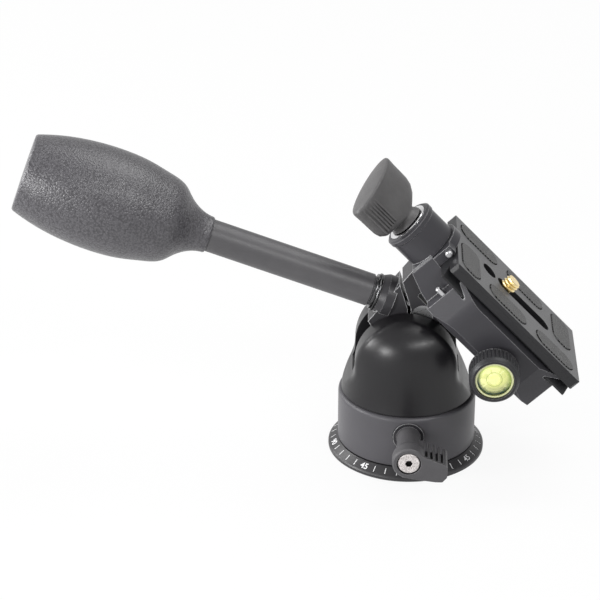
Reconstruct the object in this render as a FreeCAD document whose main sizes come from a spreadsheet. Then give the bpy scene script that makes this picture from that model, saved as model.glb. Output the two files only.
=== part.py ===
import FreeCAD, Part
import math
import os
import re
import Sketcher
from FreeCAD import Placement, Rotation, Vector

# Three way pan and tilt head with a quick-release plate. All sizes are in millimetres.
# The origin is the middle of the underside, +Z is the pan axis, the handle points to -X
# and the plate leans down towards +X. Each size has a name, a number and a note.
SIZES = {
    "ring_r": (30, "outer radius of the scale ring at the foot"),
    "ring_rim": (2.3, "height of the ring's upright rim"),
    "cone_r": (26.3, "radius at the top of the ring's sloping scale"),
    "cone_top": (4.7, "height of the top of the sloping scale"),
    "hub_r": (15, "radius of the fixed hub that the housing turns on"),
    "hub_top": (20.8, "height of the hub"),
    "bush_r": (7, "outer radius of the threaded bush"),
    "bush_len": (9, "length of the threaded bush"),
    "tripod_r": (4, "radius of the 3/8 inch tripod thread at its crests"),
    "bolt_r": (3, "radius of the pan bolt's shank"),
    "bolt_head_r": (6.4, "radius of the pan bolt's head"),
    "bolt_head": (23.7, "height of the underside of the pan bolt's head"),
    "bolt_top": (28, "height of the top of the pan bolt's head"),
    "house_r": (26.4, "radius of the turning housing"),
    "house_low": (5, "height of the housing's lower edge"),
    "house_top": (25.6, "height of the housing's shoulder"),
    "roof_low": (21.2, "underside of the housing's roof"),
    "roof_top": (23.2, "seat of the pan bolt's washer"),
    "hub_fit": (0.06, "gap between hub and housing"),
    "well_r": (6.6, "radius of the well round the bolt head"),
    "lever_x": (0.5, "sideways place of the pan lock"),
    "lever_z": (18, "height of the pan lock"),
    "recess_r": (5.9, "radius of the pan lock's recess"),
    "recess_floor": (23.5, "distance of the recess floor from the pan axis"),
    "spindle_r": (3, "radius of the pan lock's threaded spindle"),
    "shoe_r": (4, "radius of the bore for the brake shoe"),
    "lever_tip": (46.5, "distance of the lever's front face from the pan axis"),
    "lever_root": (24.8, "distance of the lever's inner end from the pan axis"),
    "lever_neck_r": (4.4, "radius of the lever's round shaft"),
    "lever_hub_r": (6.2, "radius of the lever's round end"),
    "axle_z": (40.5, "height of the tilt axle"),
    "axle_r": (4, "radius of the tilt axle"),
    "arch_x": (-0.8, "sideways place of the fork's round top"),
    "arch_z": (41, "height of the middle of the fork's round top"),
    "arch_r": (19.4, "radius of the fork's round top"),
    "slot_half": (6.7, "half the width of the fork's slot"),
    "slot_floor": (35.5, "height of the floor of the fork's slot"),
    "pocket_r": (10.6, "radius of the round pocket in the slot for the tilt block"),
    "tilt": (46.2, "forward lean of the plate in degrees"),
    "web_half": (6.3, "half the thickness of the tilt block"),
    "knuckle_r": (9.75, "radius of the tilt block round its axle"),
    "slit": (1.2, "width of the split in the tilt block"),
    "roll_b": (36.8, "height of the side-tilt axis above the axle, plate level"),
    "trunnion_r": (7, "radius of the side-tilt spindle"),
    "screw_r": (3, "radius of the side-tilt knob's stud"),
    "wing_long": (16.2, "half the length of the side-tilt knob's wing"),
    "wing_thick": (6.2, "half the thickness of the wing"),
    "wing_end": (60.9, "distance of the wing's end from the tilt axle"),
    "wing_turn": (64, "angle of the wing round its axis in degrees"),
    "boss_r": (9.9, "radius of the clamp's round boss"),
    "boss_rim_r": (10.3, "radius of the boss's rim"),
    "root_a": (-28.3, "lengthwise place of the handle's root"),
    "root_b": (7.9, "height of the handle's root above the axle"),
    "handle_fall": (26.4, "fall of the handle in degrees when the plate is level"),
    "stud_r": (2.5, "radius of the handle's threaded stud"),
    "tube_r": (6.25, "radius of the handle tube"),
    "tube_wall": (1.5, "wall of the handle tube"),
    "grip_r": (19.9, "greatest radius of the grip"),
    "grip_end": (138.3, "distance of the grip's end from the handle's root"),
    "clamp_low": (24.1, "height of the clamp's underside above the axle"),
    "clamp_top": (37, "height of the clamp's bed above the axle"),
    "clamp_half": (23, "half the width of the clamp"),
    "clamp_back": (-16, "lengthwise place of the clamp's back face"),
    "clamp_front": (40.4, "lengthwise place of the clamp's front face"),
    "jaw_split": (13.8, "distance of the jaw's parting face from the middle"),
    "knob_a": (17.5, "lengthwise place of the clamp knob"),
    "knob_b": (27, "height of the clamp knob above the axle"),
    "knob_r": (9.4, "radius of the clamp knob"),
    "knob_front": (34.2, "distance of the clamp knob's face from the middle"),
    "clamp_screw_r": (2, "radius of the clamp screw"),
    "plate_back": (-22.7, "lengthwise place of the plate's back edge"),
    "plate_front": (44.8, "lengthwise place of the plate's front edge"),
    "plate_half": (22, "half the width of the plate"),
    "plate_low": (41.5, "height of the slab's underside above the axle"),
    "plate_top": (45.85, "height of the plate's top above the axle"),
    "camera_r": (3.175, "radius of the 1/4 inch camera screw"),
    "camera_neck_r": (2.5, "radius of the camera screw's plain neck"),
    "camera_tip": (50.1, "height of the camera screw's tip above the axle"),
    "camera_a": (5, "lengthwise place of the camera screw"),
    "pad_deep": (1, "depth of the recesses for the rubber pads"),
    "pad_gap": (0.4, "gap between a pad and the edge of its recess"),
    "pad_proud": (0.35, "height of the rubber pads above the plate"),
    "pad_r": (4.6, "corner radius of the rubber pads"),
}

# Outlines of the rubber pads as back, near, front and far edges.
PADS = [
    (-20.3, 9.3, 0.5, 19.3),
    (6.0, 9.3, 26.5, 19.3),
    (31.4, -2.8, 41.8, 19.3),
    (20.7, -19.3, 41.5, -9.3),
    (-5.3, -19.3, 15.2, -9.3),
    (-20.6, -19.3, -10.2, 2.8),
]

# Places of the four screws that hold the fork to the housing.
FORK_SCREWS = [("9.5", "18.5"), ("-9.5", "18.5"), ("-9.5", "-18.5"), ("9.5", "-18.5")]

doc = FreeCAD.newDocument("PanTiltHead")
sheet = doc.addObject("Spreadsheet::Sheet", "Sizes")
NODES = []


def fill_sheet():
    """Writes every size into the sheet with its alias and its note."""
    for row, (name, (number, note)) in enumerate(SIZES.items(), start=1):
        sheet.set("A%d" % row, name)
        sheet.set("B%d" % row, str(number))
        sheet.set("C%d" % row, note)
        sheet.setAlias("B%d" % row, name)
    doc.recompute()


def bind(text):
    """Puts the sheet's name before each size that an expression uses."""
    def named(found):
        word = found.group()
        return "Sizes." + word if word in SIZES else word
    return re.sub(r"[A-Za-z_]\w*", named, str(text))


def size(text):
    """Works out an expression of named sizes as a plain number."""
    result = sheet.evalExpression(bind(text))
    return float(getattr(result, "Value", result))


def body(label, placement=Placement()):
    """Starts a body with its own name and place."""
    made = doc.addObject("PartDesign::Body", label)
    made.Label = label
    made.Placement = placement
    NODES.append(made)
    return made


def plane(owner, role):
    """Finds one of a body's own origin planes."""
    return [item for item in owner.Origin.OriginFeatures if item.Role == role][0]


def sketch(owner, role, offset="0"):
    """Adds an empty sketch on one of the body's planes, moved along its normal."""
    made = owner.newObject("Sketcher::SketchObject", "Sketch")
    made.AttachmentSupport = [(plane(owner, role), "")]
    made.MapMode = "FlatFace"
    made.AttachmentOffset = Placement(Vector(0, 0, size(offset)), Rotation())
    made.setExpression(".AttachmentOffset.Base.z", bind(offset))
    return made


def pin_point(drawing, line, end, x, y):
    """Holds one end of a line, or a circle's middle, at named distances from the origin."""
    for kind, axis, text in (("DistanceX", -2, x), ("DistanceY", -1, y)):
        if text == "0":
            drawing.addConstraint(Sketcher.Constraint("PointOnObject", line, end, axis))
        else:
            rule = Sketcher.Constraint(kind, -1, 1, line, end, size(text))
            index = drawing.addConstraint(rule)
            drawing.setExpression("Constraints[%d]" % index, bind(text))


def outline(drawing, points):
    """Draws a closed outline of straight lines through named points."""
    first = drawing.GeometryCount
    where = [Vector(size(x), size(y), 0) for x, y in points]
    for start, stop in zip(where, where[1:] + where[:1]):
        drawing.addGeometry(Part.LineSegment(start, stop), False)
    count = len(points)
    for index in range(count):
        following = first + (index + 1) % count
        drawing.addConstraint(Sketcher.Constraint("Coincident", first + index, 2, following, 1))
    for index, (x, y) in enumerate(points):
        pin_point(drawing, first + index, 1, x, y)


def circle(drawing, x, y, radius):
    """Draws a circle whose middle and radius are named sizes."""
    middle = Vector(size(x), size(y), 0)
    index = drawing.addGeometry(Part.Circle(middle, Vector(0, 0, 1), size(radius)), False)
    pin_point(drawing, index, 3, x, y)
    rule = drawing.addConstraint(Sketcher.Constraint("Radius", index, size(radius)))
    drawing.setExpression("Constraints[%d]" % rule, bind(radius))


def revolve(owner, points):
    """Turns an outline of radius and height once round the body's Z axis."""
    drawing = sketch(owner, "XZ_Plane")
    outline(drawing, points)
    made = owner.newObject("PartDesign::Revolution", "Turned")
    made.Profile = (drawing, [""])
    made.ReferenceAxis = (drawing, ["V_Axis"])
    made.Angle = 360
    doc.recompute()
    return made


def pad(owner, drawing, length, backwards=False):
    """Raises a sketch into a solid."""
    made = owner.newObject("PartDesign::Pad", "Pad")
    made.Profile = (drawing, [""])
    made.Length = size(length)
    made.setExpression("Length", bind(length))
    made.Reversed = backwards
    doc.recompute()
    return made


def pocket(owner, drawing, length, backwards=False):
    """Cuts a sketch out of the body and checks that it removed something."""
    before = owner.Shape.Volume
    made = owner.newObject("PartDesign::Pocket", "Pocket")
    made.Profile = (drawing, [""])
    made.Length = size(length)
    made.setExpression("Length", bind(length))
    made.Reversed = backwards
    doc.recompute()
    if owner.Shape.Volume > before - 0.01:
        raise RuntimeError("a pocket in %s cut nothing" % owner.Label)
    return made


def turned(label, points, placement=Placement()):
    """Makes a round piece from an outline of radius and height."""
    made = body(label, placement)
    revolve(made, points)
    return made


def hexagon(across):
    """Corner points of a hexagon with the given width across its flats."""
    half = "(%s) / 2" % across
    side = "(%s) / sqrt(3) / 2" % across
    corner = "(%s) / sqrt(3)" % across
    return [
        (corner, "0"),
        (side, half),
        ("-" + side, half),
        ("-" + corner, "0"),
        ("-" + side, "-" + half),
        (side, "-" + half),
    ]


def hex_socket(owner, top, depth, across):
    """Sinks a hexagon socket into the top of a round piece."""
    drawing = sketch(owner, "XY_Plane", top)
    outline(drawing, hexagon(across))
    pocket(owner, drawing, depth)


def solid(label, shape, placement=Placement()):
    """Keeps a solid made with plain shape functions as a named sub-part."""
    made = doc.addObject("Part::Feature", label)
    made.Label = label
    made.Shape = shape
    made.Placement = placement
    NODES.append(made)
    return made


def box(x0, y0, z0, x1, y1, z1):
    """A box between two corners."""
    return Part.makeBox(x1 - x0, y1 - y0, z1 - z0, Vector(x0, y0, z0))


def rod(radius, start, stop):
    """A round rod between two points."""
    start, stop = Vector(*start), Vector(*stop)
    return Part.makeCylinder(radius, (stop - start).Length, start, stop - start)


def prism(points, along):
    """A straight-sided solid from a closed run of corner points."""
    corners = [Vector(*point) for point in points]
    face = Part.Face(Part.makePolygon(corners + corners[:1]))
    return face.extrude(Vector(*along))


def spin(edges, centre=Vector(0, 0, 0), axis=Vector(0, 0, 1)):
    """Turns a closed run of edges once round an axis."""
    return Part.makeSolid(Part.Face(Part.Wire(edges)).revolve(centre, axis, 360))


def curve(points, start=None, stop=None):
    """A smooth curve through points, with its end directions where they are given."""
    spline = Part.BSplineCurve()
    corners = [Vector(*point) for point in points]
    if start and stop:
        spline.interpolate(corners, InitialTangent=Vector(*start), FinalTangent=Vector(*stop))
    else:
        spline.interpolate(corners)
    return spline.toShape()


def line(start, stop):
    """A straight edge between two points."""
    return Part.LineSegment(Vector(*start), Vector(*stop)).toShape()


fill_sheet()

TILTED = Placement(Vector(0, 0, size("axle_z")), Rotation(Vector(0, 1, 0), size("tilt")))
ROLL = TILTED * Placement(Vector(0, 0, size("roll_b")), Rotation(Vector(0, 1, 0), -90))
HANDLE_TURN = Rotation(Vector(0, 1, 0), -90 - size("handle_fall"))
HANDLE = TILTED * Placement(Vector(size("root_a"), 0, size("root_b")), HANDLE_TURN)
KNOB = TILTED * Placement(Vector(size("knob_a"), 0, size("knob_b")), Rotation(Vector(1, 0, 0), 90))
CAMERA = TILTED * Placement(Vector(size("camera_a"), 0, 0), Rotation())
LEVER = Placement(Vector(size("lever_x"), 0, size("lever_z")), Rotation(Vector(1, 0, 0), 90))


def base_disc():
    """The fixed foot: a flat ring with a sloping scale and the hub in its middle."""
    turned("base_disc", [
        ("bush_r", "0"),
        ("ring_r - 1", "0"),
        ("ring_r", "0.8"),
        ("ring_r", "ring_rim - 0.5"),
        ("ring_r - 0.4", "ring_rim"),
        ("cone_r", "cone_top"),
        ("hub_r", "cone_top"),
        ("hub_r", "hub_top"),
        ("bolt_r", "hub_top"),
        ("bolt_r", "bush_len"),
        ("bush_r", "bush_len"),
    ])


def tripod_bush():
    """The steel bush with the 3/8 inch tripod thread."""
    turned("tripod_bush", [
        ("tripod_r", "0"),
        ("bush_r", "0"),
        ("bush_r", "bush_len"),
        ("tripod_r", "bush_len"),
    ])


def pan_bolt():
    """The bolt that keeps the housing on the hub, reached through the fork's slot."""
    made = turned("pan_bolt", [
        ("0", "bush_len"),
        ("bolt_r", "bush_len"),
        ("bolt_r", "bolt_head"),
        ("bolt_head_r", "bolt_head"),
        ("bolt_head_r", "bolt_top - 0.5"),
        ("bolt_head_r - 0.5", "bolt_top"),
        ("0", "bolt_top"),
    ])
    hex_socket(made, "bolt_top", "2.5", "6")


def pan_washer():
    """The slip washer between the housing's roof and the bolt head."""
    turned("pan_washer", [
        ("bolt_r + 0.15", "roof_top"),
        ("bolt_head_r", "roof_top"),
        ("bolt_head_r", "bolt_head - 0.05"),
        ("bolt_r + 0.15", "bolt_head - 0.05"),
    ])


def pan_housing():
    """The turning drum with its hub bore, bolt seat and the pan lock's recess."""
    made = turned("pan_housing", [
        ("hub_r + hub_fit", "house_low"),
        ("house_r - 0.4", "house_low"),
        ("house_r", "house_low + 0.4"),
        ("house_r", "house_top - 1.5"),
        ("house_r - 0.15", "house_top - 0.8"),
        ("house_r - 0.6", "house_top - 0.25"),
        ("house_r - 1.3", "house_top"),
        ("well_r", "house_top"),
        ("well_r", "roof_top"),
        ("bolt_r + 0.15", "roof_top"),
        ("bolt_r + 0.15", "roof_low"),
        ("hub_r + hub_fit", "roof_low"),
    ])
    for radius, start, length in (
        ("recess_r", "recess_floor", "5"),
        ("spindle_r + 0.04", "recess_floor - 4", "5"),
        ("shoe_r", "14", "6"),
    ):
        drawing = sketch(made, "XZ_Plane", start)
        circle(drawing, "lever_x", "lever_z", radius)
        pocket(made, drawing, length, True)
    for radius, length in (("2.85", "3.5"), ("1.5", "30")):
        drawing = sketch(made, "XY_Plane", "house_low")
        for x, y in FORK_SCREWS:
            circle(drawing, x, y, radius)
        pocket(made, drawing, length, True)


def brake_shoe():
    """The plug that the pan lock presses against the hub."""
    turned("pan_brake_shoe", [
        ("0", "hub_r + 0.05"),
        ("shoe_r - 0.45", "hub_r + 0.05"),
        ("shoe_r - 0.05", "hub_r + 0.45"),
        ("shoe_r - 0.05", "hub_r + 4.6"),
        ("0", "hub_r + 4.6"),
    ], LEVER)


def lever_collar():
    """The ring that lines the mouth of the pan lock's recess."""
    turned("pan_lock_collar", [
        ("lever_neck_r + 0.1", "recess_floor"),
        ("recess_r - 0.02", "recess_floor"),
        ("recess_r - 0.02", "house_r + 0.2"),
        ("lever_neck_r + 0.1", "house_r + 0.2"),
    ], LEVER)


def lever_spindle():
    """The threaded spindle that drives the brake shoe."""
    turned("pan_lock_spindle", [
        ("0", "recess_floor - 3.35"),
        ("spindle_r - 0.5", "recess_floor - 3.35"),
        ("spindle_r", "recess_floor - 2.85"),
        ("spindle_r", "lever_tip - 10"),
        ("0", "lever_tip - 10"),
    ], LEVER)


def lever_screw():
    """The socket cap screw in the lever's face."""
    made = turned("pan_lock_screw", [
        ("0", "lever_tip - 10"),
        ("2", "lever_tip - 10"),
        ("2", "lever_tip - 2.2"),
        ("4.1", "lever_tip - 2.2"),
        ("4.1", "lever_tip - 0.5"),
        ("3.8", "lever_tip - 0.2"),
        ("0", "lever_tip - 0.2"),
    ], LEVER)
    hex_socket(made, "lever_tip - 0.2", "1.6", "2.5")


def lever():
    """The pan lock's lever: a round shaft with a ribbed wing to one side."""
    tip = size("lever_tip")
    root = size("lever_root")
    hub = size("lever_hub_r")
    neck = size("lever_neck_r")
    profile = Part.makePolygon([
        Vector(0, 0, root),
        Vector(neck, 0, root),
        Vector(neck, 0, root + 6),
        Vector(neck + 0.35, 0, tip - 9),
        Vector(hub, 0, tip - 5),
        Vector(hub, 0, tip - 0.5),
        Vector(hub - 0.5, 0, tip),
        Vector(0, 0, tip),
        Vector(0, 0, root),
    ])
    shaft = Part.makeSolid(Part.Face(profile).revolve(Vector(0, 0, 0), Vector(0, 0, 1), 360))
    low = tip - 12.5
    wing = prism([
        (-2.2, -5.8, low),
        (4.7, -6.9, low),
        (10.2, -7.6, low),
        (12.6, -7.6, low),
        (14.3, -5.6, low),
        (14.5, -1.6, low),
        (13.8, -0.6, low),
        (5.4, 3.0, low),
        (0, 3, low),
    ], (0, 0, 12.5))
    upright = [edge for edge in wing.Edges if abs(edge.Vertexes[0].Z - edge.Vertexes[1].Z) > 5]
    outer = [edge for edge in upright if edge.Vertexes[0].X > 9]
    wing = wing.makeFillet(0.8, outer)
    shape = shaft.fuse(wing).removeSplitter()
    for step in range(4):
        along = 6.4 + 1.95 * step
        deep = -1.5 - 0.42 * step
        shape = shape.cut(box(along - 0.5, deep, low - 1, along + 0.5, 4, tip - 1.2))
    shape = shape.cut(rod(4.55, (0, 0, tip - 2.2), (0, 0, tip + 1)))
    shape = shape.cut(rod(2, (0, 0, tip - 10), (0, 0, tip)))
    shape = shape.cut(rod(size("spindle_r"), (0, 0, root - 1), (0, 0, tip - 10)))
    solid("pan_lock_lever", shape, LEVER)


def fork_side(side):
    """One flank of the fork from its foot up to the start of its round top."""
    middle = size("arch_x")
    widths = [
        (25.3, size("house_top")),
        (24.6, 27.3),
        (23.7, 29.3),
        (22.7, 31.3),
        (21.6, 33.3),
        (20.5, 35.1),
        (19.75, 37),
        (size("arch_r"), size("arch_z")),
    ]
    return [(middle + side * width, 0, z) for width, z in widths]


def tilt_fork():
    """The bell-shaped fork: a round-topped clevis blended into a round foot."""
    low = size("house_top")
    left = fork_side(-1)
    right = fork_side(1)[::-1]
    crown = Vector(size("arch_x"), 0, size("arch_z") + size("arch_r"))
    first = curve(left, (0.4, 0, 1), (0, 0, 1))
    top = Part.Arc(Vector(*left[-1]), crown, Vector(*right[0])).toShape()
    last = curve(right, (0, 0, -1), (0.4, 0, -1))
    foot = line(right[-1], left[0])
    arch = Part.Face(Part.Wire([first, top, last, foot])).extrude(Vector(0, 60, 0))
    arch.translate(Vector(0, -30, 0))
    skin = [
        (25.3, 0, low + 0.5),
        (25.0, 0, 28.5),
        (24.7, 0, 33),
        (24.6, 0, 40),
        (24.4, 0, 46),
        (23.5, 0, 51),
        (21.4, 0, 55),
        (17.6, 0, 58.4),
        (12.6, 0, 60.6),
        (6.5, 0, 61.8),
    ]
    dome = spin([
        line((0, 0, low), (24.6, 0, low)),
        line((24.6, 0, low), skin[0]),
        curve(skin),
        line(skin[-1], (0, 0, 62)),
        line((0, 0, 62), (0, 0, low)),
    ])
    shape = dome.common(arch)
    shape = shape.makeFillet(4.5, [edge for edge in shape.Edges if is_rim(edge)])
    middle = size("axle_z")
    half = size("slot_half")
    floor = size("slot_floor")
    shape = shape.cut(box(-40, -half, floor, 40, half, 80))
    shape = shape.cut(rod(size("pocket_r"), (0, -half, middle), (0, half, middle)))
    shape = shape.cut(rod(size("well_r"), (0, 0, low - 1), (0, 0, floor)))
    shape = shape.cut(rod(size("axle_r"), (0, -17, middle), (0, 40, middle)))
    shape = shape.cut(rod(6, (0, 22.2, middle), (0, 40, middle)))
    for x, y in FORK_SCREWS:
        shape = shape.cut(rod(1.5, (float(x), float(y), low - 1), (float(x), float(y), 31)))
    solid("tilt_fork", shape)


def is_rim(edge):
    """Tells whether an edge is where the fork's round top meets its outer skin."""
    extent = edge.BoundBox
    return extent.YLength > 1 and extent.ZMax > size("axle_z") + 5


def tilt_axle():
    """The steel pin that the tilt block turns on."""
    turned("tilt_axle", [
        ("0", "-16.5"),
        ("axle_r - 0.5", "-16.5"),
        ("axle_r", "-16"),
        ("axle_r", "22.2"),
        ("0", "22.2"),
    ], Placement(Vector(0, 0, size("axle_z")), Rotation(Vector(1, 0, 0), -90)))


def axle_plug():
    """The plug that closes the axle's bore in the far ear."""
    turned("axle_plug", [
        ("0", "22.2"),
        ("6", "22.2"),
        ("6", "24.0"),
        ("5.6", "24.4"),
        ("0", "24.4"),
    ], Placement(Vector(0, 0, size("axle_z")), Rotation(Vector(1, 0, 0), -90)))


def ear_washers():
    """Thin slip washers between the tilt block and the two ears."""
    bore = size("axle_r") + 0.02
    pair = []
    for side in (-1, 1):
        inner = size("web_half") + 0.05
        outer = size("slot_half")
        ring = rod(8.5, (0, side * inner, 0), (0, side * outer, 0))
        pair.append(ring.cut(rod(bore, (0, -side, 0), (0, side * 9, 0))))
    solid("ear_washers", Part.makeCompound(pair), Placement(Vector(0, 0, size("axle_z")), Rotation()))


def tilt_block():
    """The split block on the axle, with a neck for the side-tilt spindle."""
    half = size("web_half")
    web = [
        (-22.3, 0),
        (-9.3, -2.9),
        (0, -4),
        (9.5, 2.2),
        (4.2, 12),
        (-4.5, 20.7),
        (-17.1, 20.9),
        (-17.5, 21.5),
        (-17.5, 35.2),
        (-23.5, 35.2),
        (-23.5, 28),
        (-26.6, 28),
    ]
    shape = prism([(a, half, b) for a, b in web], (0, -2 * half, 0))
    shape = shape.fuse(rod(size("knuckle_r"), (0, -half, 0), (0, half, 0)))
    turn = Rotation(Vector(0, 1, 0), -90 - size("handle_fall"))
    seat = spin([
        line((0, 0, -8), (8.1, 0, -8)),
        line((8.1, 0, -8), (8.1, 0, -4.6)),
        line((8.1, 0, -4.6), (6.9, 0, -2)),
        line((6.9, 0, -2), (0, 0, -2)),
        line((0, 0, -2), (0, 0, -8)),
    ])
    seat.Placement = Placement(Vector(size("root_a"), 0, size("root_b")), turn)
    shape = shape.fuse(seat).removeSplitter()
    shape = shape.cut(rod(size("axle_r") + 0.05, (0, -9, 0), (0, 9, 0)))
    half_slit = size("slit") / 2
    inner = box(-21.5, -9, -half_slit, 0, 9, half_slit)
    inner.Placement = Placement(Vector(0, 0, 0), Rotation(Vector(0, 1, 0), 43.8))
    outer = box(-18, -9, -half_slit, 0.3, 9, half_slit)
    outer.Placement = Placement(Vector(-15.52, 0, 14.88), Rotation(Vector(0, 1, 0), 27))
    shape = shape.cut(inner).cut(outer)
    bore = rod(size("stud_r") + 0.06, (0, 0, -24.6), (0, 0, 2))
    bore.Placement = Placement(Vector(size("root_a"), 0, size("root_b")), turn)
    shape = shape.cut(bore)
    shape = shape.cut(rod(3.8, (-10.2, -9, 16.9), (-10.2, 9, 16.9)))
    for b in (30.4, 33.4):
        shape = shape.cut(rod(1.2, (-24, 0, b), (-17, 0, b)))
        shape = shape.cut(rod(2.2, (-18.9, 0, b), (-17, 0, b)))
    solid("tilt_block", shape, TILTED)


def barrel_nut():
    """The cross nut that the handle's stud screws into to squeeze the split block."""
    shape = rod(3.8, (-10.2, -size("web_half") + 0.3, 16.9), (-10.2, size("web_half") - 0.3, 16.9))
    bore = rod(size("stud_r") + 0.04, (0, 0, -30), (0, 0, 2))
    turn = Rotation(Vector(0, 1, 0), -90 - size("handle_fall"))
    bore.Placement = Placement(Vector(size("root_a"), 0, size("root_b")), turn)
    solid("barrel_nut", shape.cut(bore), TILTED)


def side_tilt_spindle():
    """The steel spindle that the clamp swings on, with a flange against the neck."""
    made = turned("side_tilt_spindle", [
        ("0", "23.5"),
        ("8.5", "23.5"),
        ("8.5", "26.3"),
        ("trunnion_r + 0.4", "26.6"),
        ("trunnion_r", "26.6"),
        ("trunnion_r", "34.6"),
        ("trunnion_r - 0.4", "35"),
        ("screw_r + 0.03", "35"),
        ("screw_r + 0.03", "27.5"),
        ("0", "27.5"),
    ], ROLL)
    for drop in ("-6.4", "-3.4"):
        drawing = sketch(made, "XY_Plane", "23.5")
        circle(drawing, drop, "0", "1.2")
        pocket(made, drawing, "2.4", True)


def neck_screws():
    """The two screws that hold the spindle's flange to the neck."""
    pair = []
    for b in (30.4, 33.4):
        shank = rod(1.2, (-25.8, 0, b), (-18.9, 0, b))
        head = rod(2.2, (-18.9, 0, b), (-17.7, 0, b))
        pair.append(shank.fuse(head))
    joined = pair[0].fuse(pair[1]).removeSplitter()
    solid("neck_screws", joined, TILTED)


def knob_stud():
    """The threaded stud of the side-tilt knob."""
    turned("side_tilt_stud", [
        ("0", "28"),
        ("screw_r - 0.5", "28"),
        ("screw_r", "28.5"),
        ("screw_r", "50"),
        ("0", "50"),
    ], ROLL)


def knob_washer():
    """The polished washer between the side-tilt knob and the boss."""
    turned("side_tilt_washer", [
        ("screw_r + 0.2", "39.4"),
        ("8.1", "39.4"),
        ("8.3", "39.6"),
        ("8.3", "40.5"),
        ("8.1", "40.7"),
        ("screw_r + 0.2", "40.7"),
    ], ROLL)


def side_tilt_knob():
    """The wing knob that locks the side tilt: an oval blade with ribs at its two grips."""
    long = size("wing_long")
    thick = size("wing_thick")
    end = size("wing_end")
    right = [
        (4.6, 42.9),
        (9.4, 43.5),
        (13.4, 45.2),
        (15.6, 47.8),
        (long, 50.6),
        (long, end - 1.4),
        (long - 0.5, end - 0.6),
        (10, end + 0.4),
        (4, end + 0.8),
    ]
    left = [(-x, z) for x, z in reversed(right)]
    side = prism([(x, -10, z) for x, z in right + left], (0, 20, 0))
    oval = Part.Ellipse(Vector(0, 0, 0), long + 0.2, thick).toShape()
    blade = Part.Face(Part.Wire([oval])).extrude(Vector(0, 0, 80))
    neck = spin([
        line((0, 0, 41), (6.8, 0, 41)),
        line((6.8, 0, 41), (6.2, 0, 42.2)),
        line((6.2, 0, 42.2), (5.4, 0, 43.8)),
        line((5.4, 0, 43.8), (5.0, 0, 48)),
        line((5.0, 0, 48), (0, 0, 48)),
        line((0, 0, 48), (0, 0, 41)),
    ])
    shape = side.common(blade).fuse(neck).removeSplitter()
    for step in range(5):
        x = 8.6 + 1.4 * step
        deep = thick * math.sqrt(1 - (x / long) ** 2) - 0.45
        shape = shape.cut(box(-x - 0.35, -9, 41, -x + 0.35, -deep, end - 1.2))
        shape = shape.cut(box(x - 0.35, deep, 41, x + 0.35, 9, end - 1.2))
    shape = shape.cut(rod(size("screw_r"), (0, 0, 30), (0, 0, 50)))
    turn = Placement(Vector(0, 0, 0), Rotation(Vector(0, 0, 1), size("wing_turn")))
    solid("side_tilt_knob", shape, ROLL * turn)


def clamp_body():
    """The clamp's casting: bed, fixed far jaw, two arms and the round boss."""
    low = size("clamp_low")
    top = size("clamp_top")
    back = size("clamp_back")
    front = size("clamp_front")
    half = size("clamp_half")
    split = size("jaw_split")
    axis = size("roll_b")
    section = [
        (-split, low),
        (half - 3, low),
        (half, low + 3),
        (half, 39.2),
        (half - 3.6, 41.2),
        (17.72, 41.2),
        (20.95, 37.97),
        (20.95, top),
        (-split, top),
    ]
    shape = prism([(back, y, b) for y, b in section], (front - back, 0, 0))
    corner = prism([(front - 9, half + 1, low - 1), (front + 1, half + 1, low - 1),
                    (front + 1, half - 6, low - 1)], (0, 0, 30))
    shape = shape.cut(corner)
    plan = [(-28, 10), (-27, 10.6), (back + 0.5, split), (back + 0.5, -split), (-27, -10.6), (-28, -10)]
    arms = prism([(a, y, low) for a, y in plan], (0, 0, top - low))
    side = [(-28, top), (back + 0.5, top), (back + 0.5, low), (-19.5, low + 0.6), (-27, 27), (-28, 28)]
    arms = arms.common(prism([(a, 20, b) for a, b in side], (0, -40, 0)))
    boss = spin([
        line((0, 0, 27), (size("boss_r"), 0, 27)),
        line((size("boss_r"), 0, 27), (size("boss_r"), 0, 37.4)),
        line((size("boss_r"), 0, 37.4), (size("boss_rim_r"), 0, 37.9)),
        line((size("boss_rim_r"), 0, 37.9), (size("boss_rim_r"), 0, 39.6)),
        line((size("boss_rim_r"), 0, 39.6), (size("boss_rim_r") - 0.9, 0, 40.3)),
        line((size("boss_rim_r") - 0.9, 0, 40.3), (0, 0, 40.3)),
        line((0, 0, 40.3), (0, 0, 27)),
    ])
    boss.Placement = Placement(Vector(0, 0, axis), Rotation(Vector(0, 1, 0), -90))
    shape = shape.fuse(arms).fuse(boss).removeSplitter()
    shape = shape.cut(rod(8.9, (-27, 0, axis), (-23.2, 0, axis)))
    wedge = [(-6.75, 45), (-6.75, axis), (-10.9, low - 1), (10.9, low - 1), (6.75, axis), (6.75, 45)]
    shape = shape.cut(prism([(-27, y, b) for y, b in wedge], (10.4, 0, 0)))
    shape = shape.cut(rod(size("trunnion_r") + 0.06, (-35.3, 0, axis), (-26, 0, axis)))
    shape = shape.cut(rod(size("screw_r") + 0.15, (-41, 0, axis), (-34, 0, axis)))
    shape = shape.cut(rod(8.5, (-41, 0, axis), (-39.4, 0, axis)))
    shape = shape.cut(rod(2.5, (-30, 5, axis + 1.9), (-30, 12, axis + 1.9)))
    knob_a = size("knob_a")
    knob_b = size("knob_b")
    shape = shape.cut(rod(size("clamp_screw_r") + 0.04, (knob_a, -15, knob_b), (knob_a, 9, knob_b)))
    for a in (3, 32):
        shape = shape.cut(rod(1.5, (a, -15, 30), (a, -4, 30)))
        shape = shape.cut(rod(2.7, (a, -15, 30), (a, -9, 30)))
    solid("clamp_body", shape, TILTED)


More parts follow.
